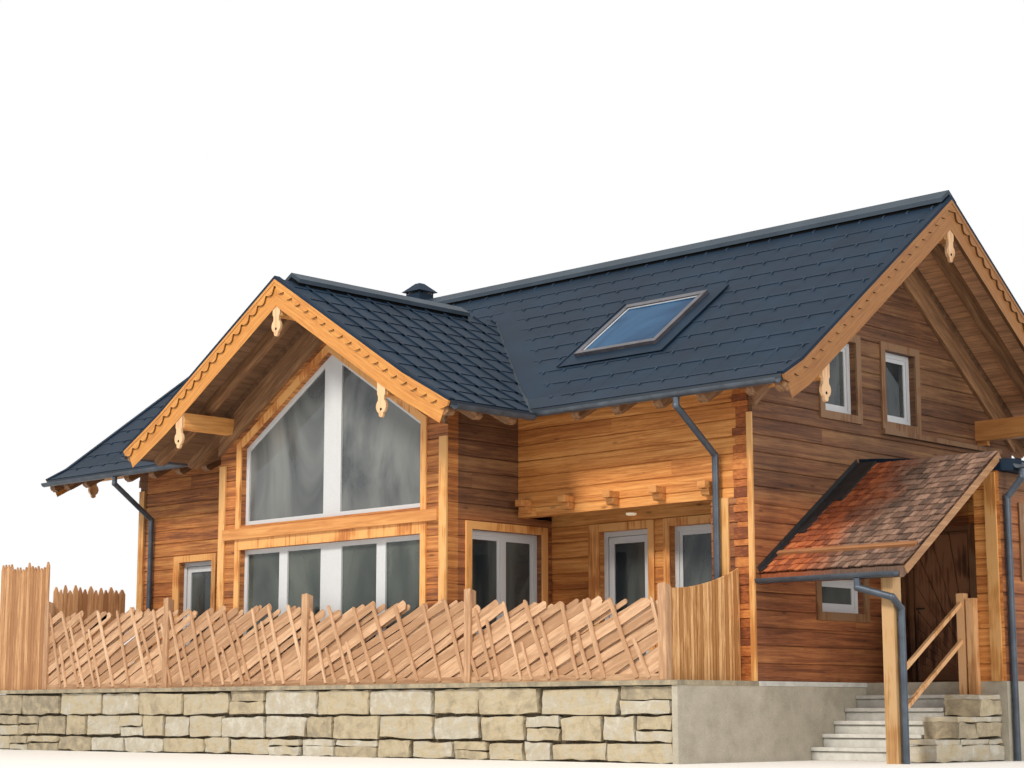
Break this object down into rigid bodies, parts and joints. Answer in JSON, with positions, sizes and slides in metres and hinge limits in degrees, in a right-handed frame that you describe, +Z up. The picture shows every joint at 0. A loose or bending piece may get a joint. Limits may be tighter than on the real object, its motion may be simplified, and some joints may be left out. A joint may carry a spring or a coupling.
{
  "type": "alpine log chalet",
  "caption": "Log chalet with a metal-shingled gable roof, glazed cross gable, recessed loggia, side porch over stone stairs and a fenced stone terrace.",
  "frame": {"origin": "centre of the plinth's underside, at ground level under the middle of the main body", "axes": "+X along the main ridge to the porch side, +Y from the terrace to the back, +Z up"},
  "size_m": [17.7803, 9.8953, 8.12],
  "materials": {
    "plaster": "rough plaster on masonry",
    "natural_stone": "split natural stone",
    "stair_stone": "sawn light stone",
    "floor_boards": "oiled boards",
    "roof_shingles": "matt coated metal shingles",
    "wood_shingles": "weathered split shingles",
    "gutter_metal": "satin coated",
    "white_frame": "satin white",
    "window_glass": "clear insulating glass",
    "spruce": "planed larch and spruce",
    "fence_wood": "split weathered wood",
    "door_wood": "dark stained boards",
    "log_wood": "squared logs, sun-browned"
  },
  "bodies": {
    "house": {"plinth": "plaster", "stone_wall": "natural_stone", "terrace_slab": "natural_stone", "ground_floor": "floor_boards", "upper_floor": "floor_boards", "front_wall_west": "log_wood", "front_wall_middle": "log_wood", "front_wall_west_head": "log_wood", "wing_front_wall": "log_wood", "wing_east_wall": "log_wood", "wing_west_wall": "log_wood", "recess_wall_west": "log_wood", "recess_wall_east": "log_wood", "recess_wall_head": "log_wood", "corner_wall": "log_wood", "front_wall_upper": "log_wood", "corbels": "spruce", "east_wall": "log_wood", "west_wall": "log_wood", "rear_wall": "log_wood", "annex_base": "plaster", "annex_side_walls": "log_wood", "annex_front_wall": "log_wood", "annex_front_head": "log_wood", "stairs": "stair_stone", "stair_cheek": "natural_stone", "main_roof_front": "roof_shingles", "main_roof_rear": "roof_shingles", "wing_roof": "roof_shingles", "annex_roof": "roof_shingles", "porch_roof": "wood_shingles", "ridge_caps": "roof_shingles", "snow_beam": "spruce", "barge_boards": "spruce", "purlins": "spruce", "corner_boards": "spruce", "glazing_frame": "white_frame", "glazing_panes": "window_glass", "window_frames": "white_frame", "window_panes": "window_glass", "window_trims": "spruce", "skylight": "gutter_metal", "door_frames": "white_frame", "gutters": "gutter_metal", "downpipes": "gutter_metal", "porch_post": "spruce", "stair_railing": "spruce", "fence_posts": "fence_wood", "fence_lattice": "fence_wood", "fence_boards": "fence_wood", "rafters": "log_wood", "gable_boards": "log_wood", "beams": "spruce", "pendants": "spruce", "roof_vent": "roof_shingles", "wall_trims": "spruce"},
    "entrance_leaf": {"entrance_door": "door_wood"},
    "terrace_leaf": {"terrace_door": "white_frame"},
    "garden_leaf": {"garden_door": "white_frame"}
  },
  "joints": [
    {"name": "entrance_hinge", "type": "hinge", "parent": "house", "child": "entrance_leaf", "pos_m": [7.702, 0.2793, 1], "axis": [0, 0, -1], "range_deg": [0, 90]},
    {"name": "terrace_hinge", "type": "hinge", "parent": "house", "child": "terrace_leaf", "pos_m": [3.498, -2.3707, 1], "axis": [0, 0, 1], "range_deg": [0, 90]},
    {"name": "garden_hinge", "type": "hinge", "parent": "house", "child": "garden_leaf", "pos_m": [-5.402, -3.0707, 1], "axis": [0, 0, 1], "range_deg": [0, 90]}
  ]
}
